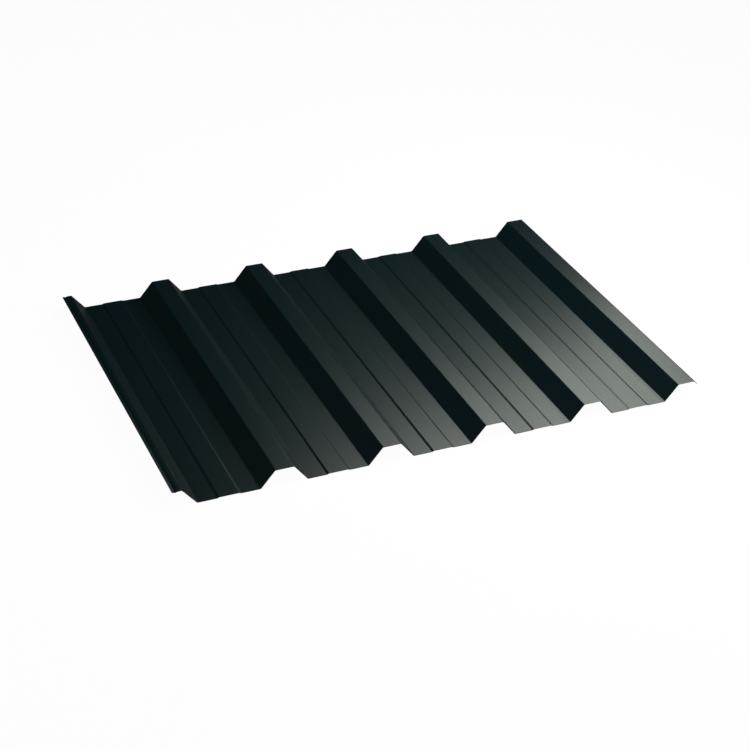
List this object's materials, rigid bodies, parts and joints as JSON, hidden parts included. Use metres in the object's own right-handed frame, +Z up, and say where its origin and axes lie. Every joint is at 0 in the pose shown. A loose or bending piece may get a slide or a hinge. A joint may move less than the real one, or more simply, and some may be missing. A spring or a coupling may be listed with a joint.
{
  "type": "box profile roofing sheet",
  "caption": "Dark green-black coated steel sheet rolled into trapezoidal ribs with wide stiffened pans and lapping side edges, for covering roofs and walls.",
  "frame": {"origin": "middle of the rectangle that the sheet covers, on the plane of the pans' undersides", "axes": "+X across the ribs from the underlap edge to the overlap edge, +Y along the ribs, +Z up from the pans to the crowns"},
  "size_m": [1.0244, 0.705, 0.0327],
  "materials": {
    "coated_steel": "smooth satin polyester coating on galvanised steel, green-black above, light grey backing coat below"
  },
  "bodies": {
    "root": {"profiled_sheet": "coated_steel"}
  },
  "joints": []
}
